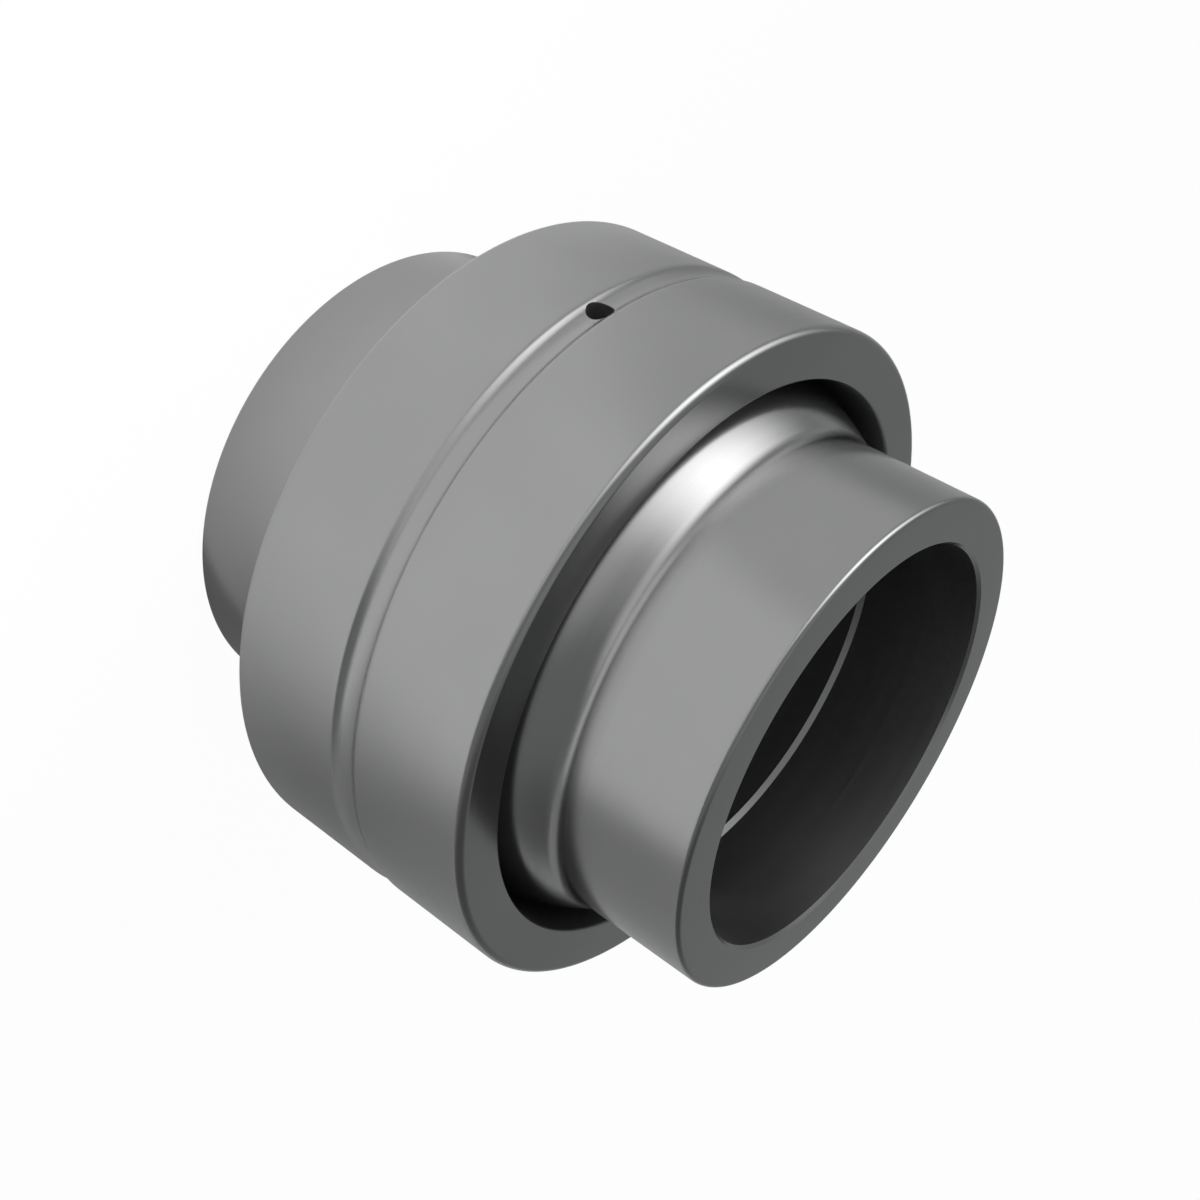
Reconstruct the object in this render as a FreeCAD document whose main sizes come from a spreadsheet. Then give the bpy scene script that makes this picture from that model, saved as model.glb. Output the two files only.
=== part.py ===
"""Radial spherical plain bearing with a long inner ring.

The outer ring is a plain turned ring with a hollow spherical seat. The inner ring is turned in one piece:
a ball between two cylindrical extensions, bored right through. Lengths are in millimetres. The bearing
stands on the end of its inner ring: +Z is the axis of the bore, and the origin is the centre of the ball.
"""
import FreeCAD, Part
import os
import Sketcher

ORIGIN_POINT = (-1, 1)
RADIAL_AXIS = -1
START, END, CENTRE = 1, 2, 3

doc = FreeCAD.newDocument("spherical_plain_bearing")


# Dimensions

sheet = doc.addObject("Spreadsheet::Sheet", "Dimensions")

DIMENSIONS = [
    ("ball_diameter", 60.0, "ball on the inner ring"),
    ("running_clearance", 0.03, "radial gap between ball and seat"),
    ("ring_thickness", 4.0, "from the ball's surface out to the housing seat"),
    ("outer_width", 28.0, "outer ring, face to face"),
    ("outer_edge_chamfer", 0.5, "chamfer of the outer ring's outer edges"),
    ("seat_width", 15.0, "hollow spherical seat, between its plain relief bores"),
    ("groove_width", 3.0, "lubrication groove at the outer diameter"),
    ("groove_floor", 1.0, "flat floor of the lubrication groove"),
    ("groove_depth", 0.5, "lubrication groove below the outer diameter"),
    ("hole_diameter", 2.5, "lubrication holes through the outer ring"),
    ("hole_count", 2, "lubrication holes spaced round the groove"),
    ("inner_width", 60.5, "inner ring, end to end"),
    ("extension_diameter", 50.0, "cylinders on both sides of the ball"),
    ("extension_edge_chamfer", 0.3, "chamfer of the inner ring's outer edges"),
    ("neck_radius", 2.8, "hollow rounding between ball and extension"),
    ("bore_diameter", 40.0, "shaft seat in the middle of the bore"),
    ("bore_seat_length", 35.0, "length of the shaft seat"),
    ("end_bore_step", 0.5, "depth of the relieved bore at both ends, below the shaft seat"),
    ("end_bore_chamfer", 0.3, "chamfer at the mouth of the bore"),
]

for row, (alias, value, meaning) in enumerate(DIMENSIONS, start=1):
    sheet.set(f"A{row}", meaning)
    sheet.set(f"B{row}", str(value))
    sheet.setAlias(f"B{row}", alias)
doc.recompute()

OUTER_RADIUS = "Dimensions.ball_diameter / 2 + Dimensions.ring_thickness"


def size(alias):
    """The value of one named cell."""
    return float(sheet.get(alias))


# Small helpers for sketches and edges

def new_body(name):
    """A body for one turned piece."""
    body = doc.addObject("PartDesign::Body", name)
    body.Label = name
    return body


def sketch_on(body, role, name):
    """A sketch on one of the body's own origin planes."""
    plane = next(f for f in body.Origin.OriginFeatures if f.Role == role)
    sketch = body.newObject("Sketcher::SketchObject", name)
    sketch.AttachmentSupport = [(plane, "")]
    sketch.MapMode = "FlatFace"
    return sketch


def line(sketch, start, end):
    """A straight edge of a profile."""
    first = FreeCAD.Vector(start[0], start[1], 0)
    last = FreeCAD.Vector(end[0], end[1], 0)
    return sketch.addGeometry(Part.LineSegment(first, last), False)


def arc(sketch, centre, radius, start, end):
    """An arc that runs counter-clockwise from start to end."""
    middle = FreeCAD.Vector(centre[0], centre[1], 0)
    towards_start = FreeCAD.Vector(start[0], start[1], 0) - middle
    towards_end = FreeCAD.Vector(end[0], end[1], 0) - middle
    circle = Part.Circle(middle, FreeCAD.Vector(0, 0, 1), radius)
    first = circle.parameter(middle + towards_start)
    last = circle.parameter(middle + towards_end)
    return sketch.addGeometry(Part.ArcOfCircle(circle, first, last), False)


def meet(sketch, edge, end, other, other_end):
    """Two points of the sketch are one."""
    sketch.addConstraint(Sketcher.Constraint("Coincident", edge, end, other, other_end))


def chain(sketch, *edges):
    """Each edge starts where the one before it ends."""
    for before, after in zip(edges, edges[1:]):
        meet(sketch, before, END, after, START)


def level(sketch, *edges):
    """Edges at right angles to the bearing's axis."""
    for edge in edges:
        sketch.addConstraint(Sketcher.Constraint("Horizontal", edge))


def upright(sketch, *edges):
    """Edges along the bearing's axis."""
    for edge in edges:
        sketch.addConstraint(Sketcher.Constraint("Vertical", edge))


def mirrored(sketch, edge, end, other, other_end):
    """Two points mirror each other in the bearing's middle plane."""
    sketch.addConstraint(Sketcher.Constraint("Symmetric", edge, end, other, other_end, RADIAL_AXIS))


def bind(sketch, constraint, name, expression):
    """Add a constraint whose value follows the sheet."""
    index = sketch.addConstraint(constraint)
    sketch.renameConstraint(index, name)
    sketch.setExpression(f"Constraints.{name}", expression)


def revolve(body, kind, name, sketch):
    """Turn a profile once round the bearing's axis."""
    feature = body.newObject(kind, name)
    feature.Profile = sketch
    feature.ReferenceAxis = (sketch, ["V_Axis"])
    feature.Angle = 360
    doc.recompute()
    return feature


def ring_edges(shape, radius, height):
    """Names of the two full circles of this radius, at the same height above and below the middle."""
    names = []
    for number, edge in enumerate(shape.Edges, start=1):
        if not isinstance(edge.Curve, Part.Circle):
            continue
        on_axis = edge.Curve.Center.sub(FreeCAD.Vector(0, 0, edge.Curve.Center.z)).Length < 1e-6
        right_size = abs(edge.Curve.Radius - radius) < 1e-6
        right_height = abs(abs(edge.Curve.Center.z) - height) < 1e-6
        if on_axis and right_size and right_height:
            names.append(f"Edge{number}")
    if len(names) != 2:
        raise RuntimeError(f"expected two edges of radius {radius}, found {len(names)}")
    return names


def dress(body, kind, name, base, edges, prop, expression):
    """Break both edges of a pair alike."""
    feature = body.newObject(kind, name)
    feature.Base = (base, edges)
    feature.setExpression(prop, expression)
    doc.recompute()
    return feature


# Outer ring: half its section is turned round the axis

outer_ring = new_body("outer_ring")

ball_radius = size("ball_diameter") / 2
outer_radius = ball_radius + size("ring_thickness")
half_outer_width = size("outer_width") / 2
seat_radius = ball_radius + size("running_clearance")
half_seat_width = size("seat_width") / 2
relief_radius = (seat_radius**2 - half_seat_width**2) ** 0.5

section = sketch_on(outer_ring, "XZ_Plane", "outer_ring_section")
outside = line(section, (outer_radius, -half_outer_width), (outer_radius, half_outer_width))
top_face = line(section, (outer_radius, half_outer_width), (relief_radius, half_outer_width))
top_relief = line(section, (relief_radius, half_outer_width), (relief_radius, half_seat_width))
seat_low = (relief_radius, -half_seat_width)
seat_high = (relief_radius, half_seat_width)
seat = arc(section, (0, 0), seat_radius, seat_low, seat_high)
bottom_relief = line(section, seat_low, (relief_radius, -half_outer_width))
bottom_face = line(section, (relief_radius, -half_outer_width), (outer_radius, -half_outer_width))

chain(section, outside, top_face, top_relief)
meet(section, top_relief, END, seat, END)
meet(section, seat, START, bottom_relief, START)
chain(section, bottom_relief, bottom_face, outside)
meet(section, seat, CENTRE, *ORIGIN_POINT)
upright(section, top_relief, bottom_relief)
level(section, top_face, bottom_face)
mirrored(section, outside, START, outside, END)
mirrored(section, seat, START, seat, END)
bind(section, Sketcher.Constraint("DistanceY", outside, START, outside, END, 2 * half_outer_width),
     "width", "Dimensions.outer_width")
bind(section, Sketcher.Constraint("DistanceX", *ORIGIN_POINT, outside, START, outer_radius),
     "outer_radius", OUTER_RADIUS)
bind(section, Sketcher.Constraint("DistanceY", seat, START, seat, END, 2 * half_seat_width),
     "seat_width", "Dimensions.seat_width")
bind(section, Sketcher.Constraint("Radius", seat, seat_radius),
     "seat_radius", "Dimensions.ball_diameter / 2 + Dimensions.running_clearance")
doc.recompute()

turned_ring = revolve(outer_ring, "PartDesign::Revolution", "turned_ring", section)

ring_edges_broken = dress(
    outer_ring, "PartDesign::Chamfer", "ring_edges_broken", turned_ring,
    ring_edges(turned_ring.Shape, outer_radius, half_outer_width),
    "Size", "Dimensions.outer_edge_chamfer")

# The cutter of the lubrication groove is as high above the outer diameter as the groove is deep below it,
# so that its two flanks cross the outer diameter half-way, where they are the groove's width apart.
groove_depth = size("groove_depth")
floor_radius = outer_radius - groove_depth
back_radius = outer_radius + groove_depth
half_floor = size("groove_floor") / 2
half_back = size("groove_width") - half_floor

cutter = sketch_on(outer_ring, "XZ_Plane", "groove_cutter")
groove_floor = line(cutter, (floor_radius, -half_floor), (floor_radius, half_floor))
top_flank = line(cutter, (floor_radius, half_floor), (back_radius, half_back))
cutter_back = line(cutter, (back_radius, half_back), (back_radius, -half_back))
bottom_flank = line(cutter, (back_radius, -half_back), (floor_radius, -half_floor))

chain(cutter, groove_floor, top_flank, cutter_back, bottom_flank, groove_floor)
mirrored(cutter, groove_floor, START, groove_floor, END)
mirrored(cutter, cutter_back, START, cutter_back, END)
bind(cutter, Sketcher.Constraint("DistanceX", *ORIGIN_POINT, groove_floor, START, floor_radius),
     "floor_radius", f"{OUTER_RADIUS} - Dimensions.groove_depth")
bind(cutter, Sketcher.Constraint("DistanceX", groove_floor, START, cutter_back, END, 2 * groove_depth),
     "cutter_depth", "2 * Dimensions.groove_depth")
bind(cutter, Sketcher.Constraint("DistanceY", groove_floor, START, groove_floor, END, 2 * half_floor),
     "floor_width", "Dimensions.groove_floor")
bind(cutter, Sketcher.Constraint("DistanceY", cutter_back, END, cutter_back, START, 2 * half_back),
     "back_width", "2 * Dimensions.groove_width - Dimensions.groove_floor")
doc.recompute()
lubrication_groove = revolve(outer_ring, "PartDesign::Groove", "lubrication_groove", cutter)

# The first hole is drilled from the -Y side, and the pattern repeats it round the groove.
drill = sketch_on(outer_ring, "XZ_Plane", "hole_outline")
drill_radius = size("hole_diameter") / 2
mouth = drill.addGeometry(
    Part.Circle(FreeCAD.Vector(0, 0, 0), FreeCAD.Vector(0, 0, 1), drill_radius), False)
meet(drill, mouth, CENTRE, *ORIGIN_POINT)
bind(drill, Sketcher.Constraint("Diameter", mouth, 2 * drill_radius), "diameter", "Dimensions.hole_diameter")
doc.recompute()

ring_volume = lubrication_groove.Shape.Volume
lubrication_hole = outer_ring.newObject("PartDesign::Pocket", "lubrication_hole")
lubrication_hole.Profile = drill
lubrication_hole.Reversed = True
lubrication_hole.setExpression("Length", OUTER_RADIUS)
doc.recompute()
hole_volume = ring_volume - lubrication_hole.Shape.Volume

lubrication_holes = outer_ring.newObject("PartDesign::PolarPattern", "lubrication_holes")
lubrication_holes.Originals = [lubrication_hole]
lubrication_holes.Axis = (section, ["V_Axis"])
lubrication_holes.Angle = 360
lubrication_holes.setExpression("Occurrences", "Dimensions.hole_count")
outer_ring.Tip = lubrication_holes
doc.recompute()


# Inner ring: ball, extensions and bore are turned from one section

inner_ring = new_body("inner_ring")

extension_radius = size("extension_diameter") / 2
half_inner_width = size("inner_width") / 2
neck_radius = size("neck_radius")
bore_radius = size("bore_diameter") / 2
end_bore_radius = bore_radius + size("end_bore_step")
half_bore_seat = size("bore_seat_length") / 2
step_height = half_bore_seat + size("end_bore_step")
neck_centre_radius = extension_radius + neck_radius
neck_height = ((ball_radius + neck_radius) ** 2 - neck_centre_radius**2) ** 0.5
share = ball_radius / (ball_radius + neck_radius)
shoulder = (neck_centre_radius * share, neck_height * share)

profile = sketch_on(inner_ring, "XZ_Plane", "inner_ring_section")
low_end = line(profile, (end_bore_radius, -half_inner_width), (extension_radius, -half_inner_width))
low_extension = line(profile, (extension_radius, -half_inner_width), (extension_radius, -neck_height))
low_neck = arc(profile, (neck_centre_radius, -neck_height), neck_radius,
               (shoulder[0], -shoulder[1]), (extension_radius, -neck_height))
ball = arc(profile, (0, 0), ball_radius, (shoulder[0], -shoulder[1]), shoulder)
high_neck = arc(profile, (neck_centre_radius, neck_height), neck_radius,
                (extension_radius, neck_height), shoulder)
high_extension = line(profile, (extension_radius, neck_height), (extension_radius, half_inner_width))
high_end = line(profile, (extension_radius, half_inner_width), (end_bore_radius, half_inner_width))
high_end_bore = line(profile, (end_bore_radius, half_inner_width), (end_bore_radius, step_height))
high_step = line(profile, (end_bore_radius, step_height), (bore_radius, half_bore_seat))
bore_seat = line(profile, (bore_radius, half_bore_seat), (bore_radius, -half_bore_seat))
low_step = line(profile, (bore_radius, -half_bore_seat), (end_bore_radius, -step_height))
low_end_bore = line(profile, (end_bore_radius, -step_height), (end_bore_radius, -half_inner_width))

meet(profile, low_end, END, low_extension, START)
profile.addConstraint(Sketcher.Constraint("Tangent", low_extension, END, low_neck, END))
profile.addConstraint(Sketcher.Constraint("Tangent", low_neck, START, ball, START))
profile.addConstraint(Sketcher.Constraint("Tangent", ball, END, high_neck, END))
profile.addConstraint(Sketcher.Constraint("Tangent", high_neck, START, high_extension, START))
chain(profile, high_extension, high_end, high_end_bore, high_step, bore_seat, low_step, low_end_bore, low_end)
upright(profile, low_extension, high_extension, high_end_bore)
level(profile, high_end)
meet(profile, ball, CENTRE, *ORIGIN_POINT)
profile.addConstraint(Sketcher.Constraint("Equal", low_neck, high_neck))
mirrored(profile, low_extension, START, high_extension, END)
mirrored(profile, low_end_bore, END, high_end_bore, START)
mirrored(profile, low_end_bore, START, high_end_bore, END)
mirrored(profile, bore_seat, START, bore_seat, END)
bind(profile, Sketcher.Constraint("Radius", ball, ball_radius), "ball_radius", "Dimensions.ball_diameter / 2")
bind(profile, Sketcher.Constraint("Radius", low_neck, neck_radius), "neck_radius", "Dimensions.neck_radius")
bind(profile, Sketcher.Constraint("DistanceX", *ORIGIN_POINT, high_extension, END, extension_radius),
     "extension_radius", "Dimensions.extension_diameter / 2")
bind(profile, Sketcher.Constraint("DistanceY", low_extension, START, high_extension, END, 2 * half_inner_width),
     "width", "Dimensions.inner_width")
bind(profile, Sketcher.Constraint("DistanceX", *ORIGIN_POINT, bore_seat, START, bore_radius),
     "bore_radius", "Dimensions.bore_diameter / 2")
bind(profile, Sketcher.Constraint("DistanceX", high_step, END, high_step, START, end_bore_radius - bore_radius),
     "step_depth", "Dimensions.end_bore_step")
bind(profile, Sketcher.Constraint("DistanceY", bore_seat, END, bore_seat, START, 2 * half_bore_seat),
     "seat_length", "Dimensions.bore_seat_length")
bind(profile, Sketcher.Constraint("DistanceY", high_step, END, high_step, START, step_height - half_bore_seat),
     "step_height", "Dimensions.end_bore_step")
doc.recompute()

turned_inner = revolve(inner_ring, "PartDesign::Revolution", "turned_inner", profile)

extension_edges_broken = dress(
    inner_ring, "PartDesign::Chamfer", "extension_edges_broken", turned_inner,
    ring_edges(turned_inner.Shape, extension_radius, half_inner_width),
    "Size", "Dimensions.extension_edge_chamfer")
bore_mouths = dress(
    inner_ring, "PartDesign::Chamfer", "bore_mouths", extension_edges_broken,
    ring_edges(extension_edges_broken.Shape, end_bore_radius, half_inner_width),
    "Size", "Dimensions.end_bore_chamfer")


# Checks, then one file for each piece

if hole_volume <= 0:
    raise RuntimeError("the lubrication hole cuts nothing")

for item in doc.Objects:
    if "Invalid" in item.State or "Error" in item.State:
        raise RuntimeError(f"{item.Label} failed: {item.State}")

os.makedirs("parts", exist_ok=True)
for piece in (outer_ring, inner_ring):
    shape = piece.Shape
    if shape.isNull() or not shape.isValid() or len(shape.Solids) != 1:
        raise RuntimeError(f"{piece.Label} isn't one valid solid")
    shape.exportStep(f"parts/{piece.Label}.step")
    print(piece.Label, round(shape.Volume, 1), shape.BoundBox)
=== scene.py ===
# %% [markdown]
# # A spherical plain bearing
#
# Two steel rings make this bearing. The inner ring is one turned piece: a ball in the middle of a tube.
# The outer ring holds the ball in a hollow spherical seat, so that it can tilt and turn on it.
# The finished solids come from CAD, and this script gives them their surfaces, a floor, light and a camera.
# Lengths are metres. The bearing stands on the end of its inner ring, and the ball's centre is the origin.

import math

import bmesh
import bpy
from mathutils import Matrix, Vector


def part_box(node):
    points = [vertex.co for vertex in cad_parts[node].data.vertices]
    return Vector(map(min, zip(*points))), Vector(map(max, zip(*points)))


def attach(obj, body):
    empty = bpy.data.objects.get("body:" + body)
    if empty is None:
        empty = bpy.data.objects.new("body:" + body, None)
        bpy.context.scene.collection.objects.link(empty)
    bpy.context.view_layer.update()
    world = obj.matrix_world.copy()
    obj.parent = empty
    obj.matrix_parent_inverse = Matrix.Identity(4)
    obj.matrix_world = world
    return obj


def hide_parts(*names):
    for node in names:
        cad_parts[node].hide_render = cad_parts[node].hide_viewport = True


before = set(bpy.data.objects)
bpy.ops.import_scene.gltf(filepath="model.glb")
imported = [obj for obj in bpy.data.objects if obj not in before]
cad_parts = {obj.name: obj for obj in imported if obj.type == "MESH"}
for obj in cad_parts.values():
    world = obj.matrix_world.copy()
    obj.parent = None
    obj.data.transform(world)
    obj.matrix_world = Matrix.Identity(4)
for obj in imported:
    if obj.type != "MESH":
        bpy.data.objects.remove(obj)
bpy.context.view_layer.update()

# %% [markdown]
# Every size that the solids can give is read from them, so that the meshes here always fit.
# The rest, such as the roundness of an edge, is a size in millimetres that a drawing would state.

# %% Sizes that come from the solids
MM = 0.001

outer_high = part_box("outer_ring")[1]
inner_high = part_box("inner_ring")[1]
outer_radius = outer_high.x
half_outer_width = outer_high.z
ball_radius = inner_high.x
half_inner_width = inner_high.z
print(f"outer ring {2 * outer_radius / MM:.1f} mm across, ball {2 * ball_radius / MM:.1f} mm across")

# %% [markdown]
# ## Turning a section into a ring
#
# A lathe makes each ring: whatever the tool's path looks like in section, the ring has it all the way round.
# A mesh can be made the same way, from a closed line of points that is repeated round the axis.
# Subdivision would soften the shape, and a bevel would need clean edges. A turned section needs neither,
# because every arc in it is already as round as the real one. A small arc gets a point every seven degrees,
# and a large one as many as keep it within five thousandths of a millimetre, so that the ball stays a ball.

# %% Helpers that draw a section
ARC_STEP = math.radians(7)
ARC_ERROR = 0.005 * MM


def arc(centre, radius, start, end):
    """Points along an arc round (radius, height), from one angle to another, both ends included."""
    step_angle = min(ARC_STEP, 2 * math.acos(1 - ARC_ERROR / radius))
    steps = max(2, math.ceil(abs(end - start) / step_angle))
    turns = [start + (end - start) * step / steps for step in range(steps + 1)]
    return [(centre[0] + radius * math.cos(turn), centre[1] + radius * math.sin(turn)) for turn in turns]


def mirrored(points):
    """The same points below the middle plane, in the order that carries the line on."""
    return [(radius, -height) for radius, height in reversed(points)]


# %% Turn the section into a mesh
ROUND_STEPS = 288


def turned(name, section):
    """A mesh object made by repeating a closed section round the bearing's axis."""
    count = len(section)
    vertices = []
    for step in range(ROUND_STEPS):
        turn = 2 * math.pi * step / ROUND_STEPS
        vertices += [(radius * math.cos(turn), radius * math.sin(turn), height) for radius, height in section]
    faces = []
    for step in range(ROUND_STEPS):
        here = step * count
        there = (step + 1) % ROUND_STEPS * count
        for point in range(count):
            following = (point + 1) % count
            faces.append((here + point, there + point, there + following, here + following))
    mesh = bpy.data.meshes.new(name)
    mesh.from_pydata(vertices, [], faces)
    mesh.update()
    piece = bpy.data.objects.new(name, mesh)
    bpy.context.scene.collection.objects.link(piece)
    print(f"{name}: {count} points in section, {len(faces)} faces")
    return piece


# %% [markdown]
# A ring that is smooth all over would look like soap: the light has to break at its real edges.
# So every face is shaded smooth, and edges that turn by more than about thirty degrees are marked sharp.

# %% Shade smooth between real edges
SHARP_TURN = math.radians(32)


def finish_shading(piece):
    """Smooth shading that stops at the piece's real edges."""
    piece.data.shade_smooth()
    piece.data.set_sharp_from_angle(angle=SHARP_TURN)


# %% [markdown]
# ## The outer ring
#
# The outside is ground to size and its edges are rounded off, which gives each a thin bright line. Inside,
# the hollow seat is a part of a sphere, and beyond it a plain bore clears the ball. A shallow groove carries
# grease to the holes. Its floor is one arc and its edges are another, bent the other way, so that the light
# runs into it softly. Where the two meet, both have the same slope, which follows from width and depth.

# %% Section of the outer ring
EDGE_ROUNDING = 0.85 * MM
MOUTH_ROUNDING = 0.3 * MM
GROOVE_WIDTH = 3.7 * MM
GROOVE_DEPTH = 0.5 * MM
GROOVE_EDGE = 1.1 * MM
SEAT_WIDTH = 15.0 * MM
CLEARANCE = 0.03 * MM

seat_radius = ball_radius + CLEARANCE
relief_radius = math.sqrt(seat_radius**2 - (SEAT_WIDTH / 2) ** 2)
groove_slope = 2 * math.atan(GROOVE_DEPTH / (GROOVE_WIDTH / 2))
groove_radius = GROOVE_WIDTH / 2 / math.sin(groove_slope) - GROOVE_EDGE
groove_centre = (outer_radius - GROOVE_DEPTH + groove_radius, 0)
seat_half_angle = math.asin(SEAT_WIDTH / 2 / seat_radius)

groove_floor = arc(groove_centre, groove_radius, math.pi, math.pi - groove_slope)
groove_edge = arc((outer_radius - GROOVE_EDGE, GROOVE_WIDTH / 2), GROOVE_EDGE, -groove_slope, 0)
seat = arc((0, 0), seat_radius, seat_half_angle, -seat_half_angle)
edge = arc((outer_radius - EDGE_ROUNDING, half_outer_width - EDGE_ROUNDING), EDGE_ROUNDING, 0, math.pi / 2)
mouth = arc((relief_radius + MOUTH_ROUNDING, half_outer_width - MOUTH_ROUNDING), MOUTH_ROUNDING,
            math.pi / 2, math.pi)
upper = groove_floor[1:] + groove_edge[1:] + edge + mouth
outer_section = groove_floor[:1] + upper + seat + mirrored(upper)

# %% [markdown]
# The lubrication holes are drilled through the groove from opposite sides. A boolean cuts them as a drill
# would, and it is the simplest way here, because the hole's round mouth lies in a curved groove.

# %% Turn and drill the outer ring
HOLE_RADIUS = 1.25 * MM
HOLE_SEGMENTS = 48

outer_ring = turned("outer_ring_turned", outer_section)

drill_mesh = bmesh.new()
drill_length = 2 * (outer_radius + HOLE_RADIUS)
bmesh.ops.create_cone(drill_mesh, cap_ends=True, segments=HOLE_SEGMENTS, radius1=HOLE_RADIUS,
                      radius2=HOLE_RADIUS, depth=drill_length)
drill = bpy.data.objects.new("drill", bpy.data.meshes.new("drill"))
drill_mesh.to_mesh(drill.data)
drill_mesh.free()
drill.rotation_euler.x = math.pi / 2
bpy.context.scene.collection.objects.link(drill)

cut = outer_ring.modifiers.new("drilled", "BOOLEAN")
cut.operation = "DIFFERENCE"
cut.solver = "EXACT"
cut.object = drill
bpy.context.view_layer.update()
drilled = bpy.data.meshes.new_from_object(outer_ring.evaluated_get(bpy.context.evaluated_depsgraph_get()))
outer_ring.modifiers.remove(cut)
outer_ring.data = drilled
bpy.data.objects.remove(drill)
finish_shading(outer_ring)
print("outer ring after drilling:", len(drilled.polygons), "faces")

# %% [markdown]
# ## The inner ring
#
# The ball runs into a cylindrical extension on each side through a hollow neck. The bore is honed for the
# pin in the middle and a millimetre wider towards its ends, which shows as a thin bright step.

# %% Section of the inner ring
EXTENSION_RADIUS = 25.0 * MM
EXTENSION_ROUNDING = 0.5 * MM
NECK_RADIUS = 2.8 * MM
BORE_RADIUS = 20.0 * MM
HALF_BORE_SEAT = 17.5 * MM
BORE_STEP = 0.5 * MM
BORE_CHAMFER = 0.3 * MM

end_bore_radius = BORE_RADIUS + BORE_STEP
neck_centre_radius = EXTENSION_RADIUS + NECK_RADIUS
neck_height = math.sqrt((ball_radius + NECK_RADIUS) ** 2 - neck_centre_radius**2)
shoulder_angle = math.atan2(neck_height, neck_centre_radius)

ball = arc((0, 0), ball_radius, -shoulder_angle, shoulder_angle)
neck = arc((neck_centre_radius, neck_height), NECK_RADIUS, math.pi + shoulder_angle, math.pi)[1:]
end_edge = arc((EXTENSION_RADIUS - EXTENSION_ROUNDING, half_inner_width - EXTENSION_ROUNDING),
               EXTENSION_ROUNDING, 0, math.pi / 2)
bore = [
    (end_bore_radius + BORE_CHAMFER, half_inner_width),
    (end_bore_radius, half_inner_width - BORE_CHAMFER),
    (end_bore_radius, HALF_BORE_SEAT + BORE_STEP),
    (BORE_RADIUS, HALF_BORE_SEAT),
]
half_section = neck + end_edge + bore
inner_section = ball + half_section + mirrored(half_section)
inner_ring = turned("inner_ring_turned", inner_section)
finish_shading(inner_ring)

# %% [markdown]
# ## Colours and nodes
#
# A paint chart or a picture gives a colour as an sRGB hex value, but light adds up in linear values.
# One function turns the first into the second. Another adds a node to a material with its settings
# and links, so that a material reads like a recipe.

# %% One function for colours, one for nodes
def linear(hex_colour):
    """An sRGB hex colour as linear red, green, blue and alpha."""
    parts = [int(hex_colour[place:place + 2], 16) / 255 for place in (1, 3, 5)]
    return [part / 12.92 if part <= 0.04045 else ((part + 0.055) / 1.055) ** 2.4 for part in parts] + [1.0]


def add_node(tree, kind, inputs=None, **settings):
    """Add a node, set its properties, then fill its inputs with values or link them to outputs."""
    node = tree.nodes.new(kind)
    for name, value in settings.items():
        setattr(node, name, value)
    for name, value in (inputs or {}).items():
        if isinstance(value, bpy.types.NodeSocket):
            tree.links.new(value, node.inputs[name])
        else:
            node.inputs[name].default_value = value
    return node


# %% [markdown]
# ## Ground bearing steel
#
# Both rings are hardened chromium steel, finished by a fine grinding wheel while they turn. To the eye that
# is a mirror with a haze: it shows the room, but smeared, and each flat face as one even tone. The wheel
# leaves marks that run round the axis, on the cylinders and on the flat faces alike. They are a few
# hundredths of a millimetre apart, too fine to show here, so they are drawn about a quarter of a millimetre
# apart, and at most a thousandth of one deep. A picture wrapped round each ring would need seams. A noise
# that depends on the distance from the axis and along it, and hardly on the angle, needs none: a mark
# changes only within centimetres of its length.
# The colour varies a little in soft clouds, as an oxide skin does, a centimetre or two across.

# %% Recipe of the steel
STEEL_DARK = "#959595"
STEEL_LIGHT = "#a2a2a2"
CLOUD_SIZE = 1 / 60
MARK_DRIFT = 1 / 30
GRAIN = 0.2 * MM
GLOSS_CHANGE = 0.03
NOISE_LOW = 0.25
NOISE_HIGH = 0.75


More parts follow.
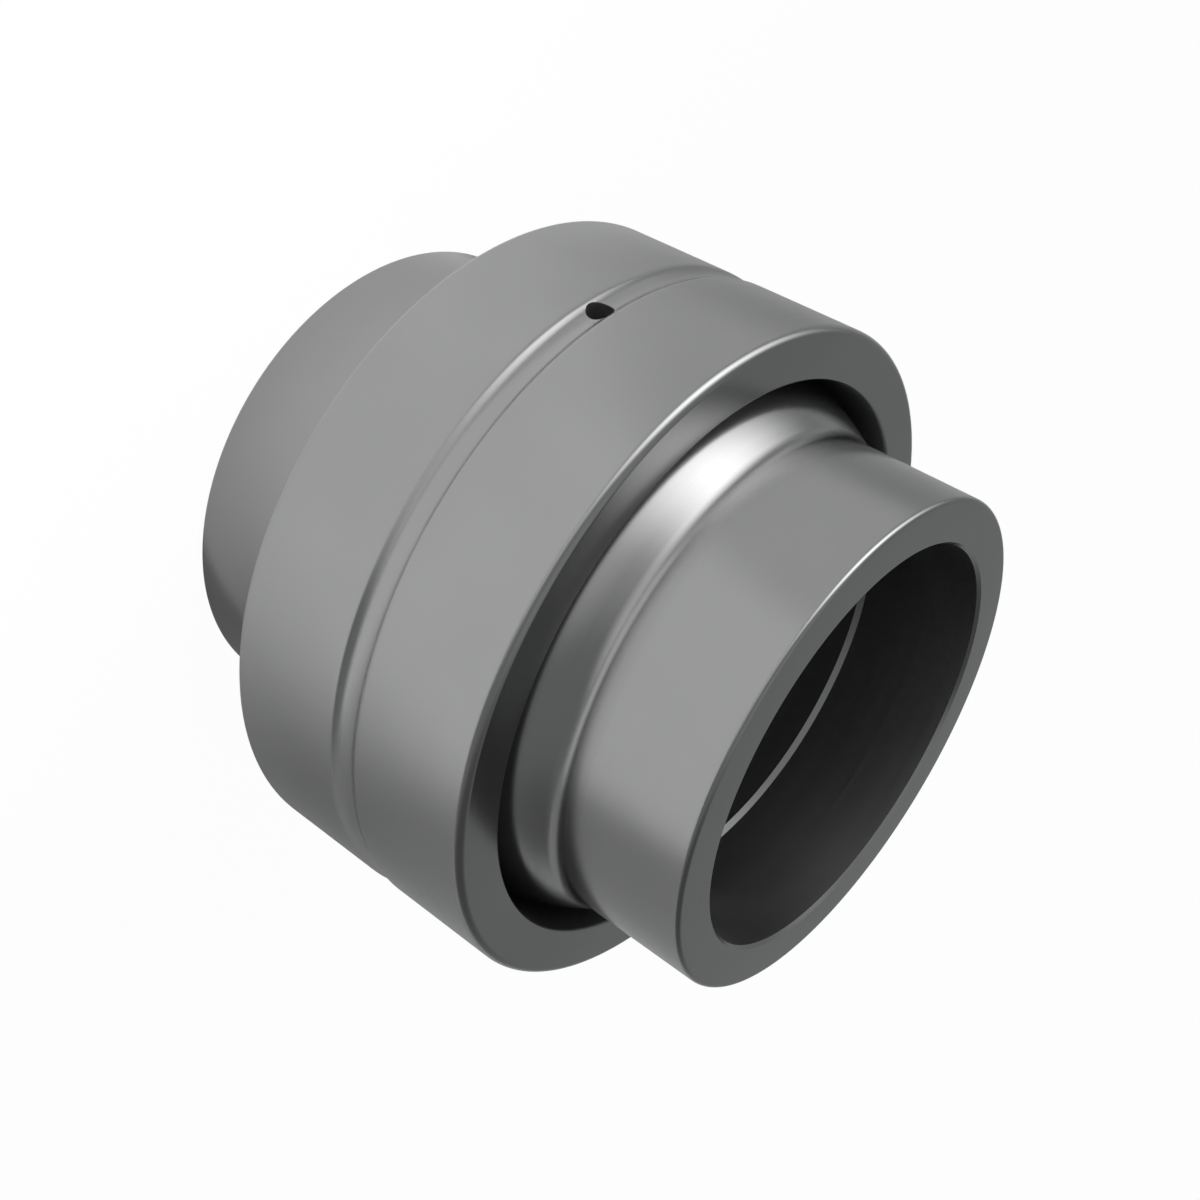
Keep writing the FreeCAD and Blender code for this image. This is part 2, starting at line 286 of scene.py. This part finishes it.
def bearing_steel(name, mark_spacing, mark_depth, roughness):
    """Hardened steel, finished while it turns: a hazy mirror with fine marks round the axis."""
    material = bpy.data.materials.new(name)
    material.use_nodes = True
    tree = material.node_tree
    tree.nodes.clear()

    place = add_node(tree, "ShaderNodeTexCoord").outputs["Object"]
    parts = add_node(tree, "ShaderNodeSeparateXYZ", {0: place})
    flat_place = add_node(tree, "ShaderNodeCombineXYZ", {0: parts.outputs["X"], 1: parts.outputs["Y"]})
    from_axis = add_node(tree, "ShaderNodeVectorMath", {0: flat_place.outputs[0]}, operation="LENGTH")
    along = add_node(tree, "ShaderNodeMath", {0: from_axis.outputs["Value"], 1: parts.outputs["Z"]},
                     operation="SUBTRACT")
    drift = add_node(tree, "ShaderNodeVectorMath", {0: flat_place.outputs[0], 1: [1 / MARK_DRIFT] * 3},
                     operation="MULTIPLY")
    rows = add_node(tree, "ShaderNodeMath", {0: along.outputs[0], 1: 1 / mark_spacing},
                    operation="MULTIPLY")
    marks = add_node(tree, "ShaderNodeTexNoise",
                     {"Vector": drift.outputs[0], "W": rows.outputs[0], "Scale": 1.0, "Detail": 3.0},
                     noise_dimensions="4D")
    fine = add_node(tree, "ShaderNodeTexNoise", {"Vector": place, "Scale": 1 / GRAIN, "Detail": 2.0})
    clouds = add_node(tree, "ShaderNodeTexNoise", {"Vector": place, "Scale": 1 / CLOUD_SIZE, "Detail": 2.0})

    tint = add_node(tree, "ShaderNodeMix",
                    {"Factor": clouds.outputs["Fac"], 6: linear(STEEL_DARK), 7: linear(STEEL_LIGHT)},
                    data_type="RGBA")
    gloss = add_node(tree, "ShaderNodeMapRange",
                     {"Value": marks.outputs["Fac"], "From Min": NOISE_LOW, "From Max": NOISE_HIGH,
                      "To Min": roughness - GLOSS_CHANGE, "To Max": roughness + GLOSS_CHANGE})
    scratched = add_node(tree, "ShaderNodeBump",
                         {"Height": marks.outputs["Fac"], "Strength": 1.0, "Distance": mark_depth})
    grained = add_node(tree, "ShaderNodeBump",
                       {"Height": fine.outputs["Fac"], "Strength": 1.0, "Distance": mark_depth,
                        "Normal": scratched.outputs["Normal"]})
    steel = add_node(tree, "ShaderNodeBsdfPrincipled",
                     {"Base Color": tint.outputs[2], "Metallic": 1.0, "Roughness": gloss.outputs[0],
                      "Normal": grained.outputs["Normal"]})
    add_node(tree, "ShaderNodeOutputMaterial", {"Surface": steel.outputs[0]})
    print(name, "marks", mark_spacing / MM, "mm apart")
    return material


# %% [markdown]
# One recipe serves four finishes, which differ in haze and in the depth of their marks. The outer ring is
# ground. The ball and the extensions are ground finer, so the ball shows the window as a clear bright patch.
# The bore is honed smooth but stays dull, and reads as one even dark grey. The lubrication holes and the
# outer ring's mouths are left as the tool cut them. Their haze is so wide that a little light reaches the
# gap beside the ball.

# %% Give the rings their steel
# Each finish has the spacing of its marks, their depth and its roughness
ground_steel = bearing_steel("ground_bearing_steel", 0.3 * MM, 0.0003 * MM, 0.22)
fine_steel = bearing_steel("fine_ground_bearing_steel", 0.25 * MM, 0.0003 * MM, 0.20)
honed_steel = bearing_steel("honed_bearing_steel", 0.25 * MM, 0.00005 * MM, 0.34)
cut_steel = bearing_steel("rough_cut_bearing_steel", 0.3 * MM, 0.001 * MM, 0.45)
for piece, steels in ((outer_ring, (ground_steel, cut_steel)), (inner_ring, (fine_steel, honed_steel))):
    for steel in steels:
        piece.data.materials.append(steel)

# A hole's wall hardly faces along the hole, which runs along Y
NEAR = 0.1 * MM
HARDLY = 0.1
for face in outer_ring.data.polygons:
    centre = face.center
    in_hole = math.hypot(centre.x, centre.z) < HOLE_RADIUS and abs(centre.y) > seat_radius - NEAR
    in_mouth = centre.xy.length < relief_radius + NEAR
    face.material_index = 1 if in_mouth or (in_hole and abs(face.normal.y) < HARDLY) else 0
for face in inner_ring.data.polygons:
    face.material_index = 1 if face.center.xy.length < end_bore_radius + NEAR else 0

# %% [markdown]
# ## Joining the frame
#
# Each turned mesh stands for its CAD solid and rides on that solid's body, so it tilts with it.

# %% Ride and replace
for piece, body, node in ((outer_ring, "outer", "outer_ring"), (inner_ring, "inner", "inner_ring")):
    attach(piece, body)
    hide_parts(node)
    print(piece.name, "rides on", body)

# %% [markdown]
# ## Floor
#
# Bare steel has hardly a colour of its own: it looks like steel because of what it mirrors. The upright
# flanks mirror the floor, so the floor's light and shade are their real paint. It is matt white paper that
# reaches past the horizon. The camera sees it almost plain white, whatever the light does. The steel sees it
# as it is lit, with the bearing's own shadow in it, and only a little of the plain white mixed in.

# %% How much of the white background each kind of ray sees
def background_share(tree, to_camera, to_gloss):
    """A factor from 0 to 1: how far the plain white takes the place of the lit surface."""
    rays = add_node(tree, "ShaderNodeLightPath")
    camera = add_node(tree, "ShaderNodeMath", {0: rays.outputs["Is Camera Ray"], 1: to_camera},
                      operation="MULTIPLY")
    gloss = add_node(tree, "ShaderNodeMath",
                     {0: rays.outputs["Is Glossy Ray"], 1: to_gloss, 2: camera.outputs[0]},
                     operation="MULTIPLY_ADD")
    through = add_node(tree, "ShaderNodeMath",
                       {0: rays.outputs["Is Transmission Ray"], 1: to_camera, 2: gloss.outputs[0]},
                       operation="MULTIPLY_ADD")
    return through.outputs[0]


# %% Floor
FLOOR_HALF = 8.0
PAPER_COLOUR = "#f2f2f2"

floor_mesh = bpy.data.meshes.new("floor")
corners = [(-1, -1), (1, -1), (1, 1), (-1, 1)]
places = [(x * FLOOR_HALF, y * FLOOR_HALF, -half_inner_width) for x, y in corners]
floor_mesh.from_pydata(places, [], [(0, 1, 2, 3)])
floor = bpy.data.objects.new("floor", floor_mesh)
bpy.context.scene.collection.objects.link(floor)

paper = bpy.data.materials.new("matt_white_paper")
paper.use_nodes = True
tree = paper.node_tree
tree.nodes.clear()
matt = add_node(tree, "ShaderNodeBsdfDiffuse", {"Color": linear(PAPER_COLOUR)})
plain_white = add_node(tree, "ShaderNodeEmission", {"Color": linear("#ffffff"), "Strength": 1.0})
floor_share = background_share(tree, to_camera=0.975, to_gloss=0.08)
seen = add_node(tree, "ShaderNodeMixShader", {0: floor_share, 1: matt.outputs[0], 2: plain_white.outputs[0]})
add_node(tree, "ShaderNodeOutputMaterial", {"Surface": seen.outputs[0]})
floor_mesh.materials.append(paper)
print("floor at", round(-half_inner_width / MM, 2), "mm")

# %% [markdown]
# ## Room
#
# The flat faces lean back from the camera and mirror the wall behind, so that wall is a dim grey, a little
# green as in the photograph's faces. Low on the camera's side the room is bright, where it carries on the
# bright floor for the parts of the ball that face down. One side is nearly black, and gives the far flank
# of the ball its depth. Overhead is a lighter grey. Each of these is a soft round patch in the world, made
# from how nearly a ray runs towards one place. Real panels would be simpler to understand, but their
# straight edges would show in every rounded edge.

# %% Room
def towards(azimuth, height):
    """The unit direction at an azimuth and a height above the horizon, both in degrees."""
    around, above = math.radians(azimuth), math.radians(height)
    return Vector((math.cos(above) * math.cos(around), math.cos(above) * math.sin(around), math.sin(above)))


world = bpy.data.worlds.new("studio")
bpy.context.scene.world = world
world.use_nodes = True
tree = world.node_tree
tree.nodes.clear()
direction = add_node(tree, "ShaderNodeTexCoord").outputs["Generated"]


def facing(tree, place):
    """How nearly a ray runs towards a place in the room: 1 is straight at it."""
    nearness = add_node(tree, "ShaderNodeVectorMath", {0: direction, 1: place}, operation="DOT_PRODUCT")
    return nearness.outputs["Value"]


# Each patch has its azimuth and height, how nearly a ray faces it at its edge and where it is full, and
# its colour. The one overhead would be full past 1, so it never is.
WALL_COLOUR = "#777b79"
PATCHES = {
    "overhead": ((0, 90), 0.6, 1.1, "#a2a5a3"),
    "darkest": ((62, 38), 0.68, 0.97, "#181a19"),
    "brightest": ((-75, -29), 0.28, 0.72, "#f6f6f6"),
}

walls = linear(WALL_COLOUR)
for name, (place, at_edge, where_full, patch_colour) in PATCHES.items():
    patch = add_node(tree, "ShaderNodeMapRange",
                     {"Value": facing(tree, towards(*place)), "From Min": at_edge, "From Max": where_full},
                     interpolation_type="SMOOTHSTEP")
    mixed = add_node(tree, "ShaderNodeMix",
                     {"Factor": patch.outputs[0], 6: walls, 7: linear(patch_colour)}, data_type="RGBA")
    walls = mixed.outputs[2]
    print(name, "patch at azimuth and height", place)

room = add_node(tree, "ShaderNodeBackground", {"Color": walls, "Strength": 1.0})
white = add_node(tree, "ShaderNodeBackground", {"Color": linear("#ffffff"), "Strength": 1.0})
sky_share = background_share(tree, to_camera=1.0, to_gloss=0.12)
sky = add_node(tree, "ShaderNodeMixShader", {0: sky_share, 1: room.outputs[0], 2: white.outputs[0]})

# %% [markdown]
# ## Window
#
# The ball, the neck and every rounded edge show one bright patch, a window on the camera's left and about
# as high as the camera. It is an ellipse in the world that fades from its middle. A square lamp would show
# its corners, and a lamp's edge is hard. The ray's direction is measured sideways and upwards in units of
# the ellipse's half sizes. Measured like that, the window has a twin straight opposite. The floor hides it,
# apart from a faint strip just over the horizon.

# %% Window
WINDOW_PLACE = (-128, 25)
WINDOW_STRENGTH = 3.2
WINDOW_HALF = (0.89, 0.54)

window_side = towards(WINDOW_PLACE[0] + 90, 0)
window_up = towards(*WINDOW_PLACE).cross(window_side)
across, upwards = [
    add_node(tree, "ShaderNodeMath", {0: facing(tree, axis), 1: half}, operation="DIVIDE").outputs[0]
    for axis, half in zip((window_side, window_up), WINDOW_HALF)]
place_in_window = add_node(tree, "ShaderNodeCombineXYZ", {0: across, 1: upwards})
off_centre = add_node(tree, "ShaderNodeVectorMath", {0: place_in_window.outputs[0]}, operation="LENGTH")
glow = add_node(tree, "ShaderNodeMapRange",
                {"Value": off_centre.outputs["Value"], "From Min": 1.0, "From Max": 0.0,
                 "To Max": WINDOW_STRENGTH},
                interpolation_type="SMOOTHSTEP")
window = add_node(tree, "ShaderNodeBackground", {"Color": linear("#ffffff"), "Strength": glow.outputs[0]})
both = add_node(tree, "ShaderNodeAddShader", {0: sky.outputs[0], 1: window.outputs[0]})
add_node(tree, "ShaderNodeOutputWorld", {"Surface": both.outputs[0]})

# %% [markdown]
# ## Lamps
#
# Two lamps light the floor and nothing else that shows. Each has a narrow spread, as a soft box with a
# honeycomb grid has, so its pool of light ends in a soft edge. The pools overlap, and their near edge runs in
# one line past the foot of the bearing. The near flank mirrors the lit floor and the far one the unlit floor,
# which is the soft dark band down the side of each cylinder. Gloss rays don't see the lamps themselves.

# %% Gridded soft boxes
POOL_LINE = 22
LAMP_HEIGHT = 55
LAMP_DIRECTION = towards(POOL_LINE - 90, LAMP_HEIGHT)
LAMP_DISTANCE = 0.42
LAMP_WIDTH = 0.50
GRID_SPREAD = math.radians(6)
FIRST_POOL = Vector((0.1205, -0.2987, -0.030))


def floor_lamp(name, along_line, power):
    """A gridded soft box that lights a pool of floor, so far along the pools' line."""
    pool = FIRST_POOL + along_line * towards(POOL_LINE, 0)
    lamp = bpy.data.lights.new(name, "AREA")
    lamp.shape = "SQUARE"
    lamp.size = LAMP_WIDTH
    lamp.energy = power
    lamp.spread = GRID_SPREAD
    light = bpy.data.objects.new(name, lamp)
    light.location = pool + LAMP_DISTANCE * LAMP_DIRECTION
    light.rotation_euler = LAMP_DIRECTION.to_track_quat("Z", "Y").to_euler()
    light.visible_glossy = False
    bpy.context.scene.collection.objects.link(light)
    print(name, "gives", power, "W")


floor_lamp("left_floor_lamp", along_line=0.0, power=0.39)
floor_lamp("right_floor_lamp", along_line=0.20, power=0.26)

# %% [markdown]
# ## Camera
#
# The camera stands close, so the near end of the inner ring looks larger than the far end. It is rolled
# over until the bearing lies in the picture with its axis running down to the right.

# %% Camera
camera_place = Vector((0.09065, -0.11235, 0.07898))
up_in_picture = Vector((0, -1, 0))

camera_data = bpy.data.cameras.new("camera")
camera_data.lens = 50
camera_data.sensor_width = 36
camera_data.clip_start = 0.005
camera = bpy.data.objects.new("camera", camera_data)
back = camera_place.normalized()
right = up_in_picture.cross(back).normalized()
up = back.cross(right)
camera.location = camera_place
camera.rotation_euler = Matrix((right, up, back)).transposed().to_euler()
bpy.context.scene.collection.objects.link(camera)
bpy.context.scene.camera = camera
bpy.context.scene.view_settings.view_transform = "Standard"
print("camera is", round(camera_place.length, 4), "m from the ball's centre")
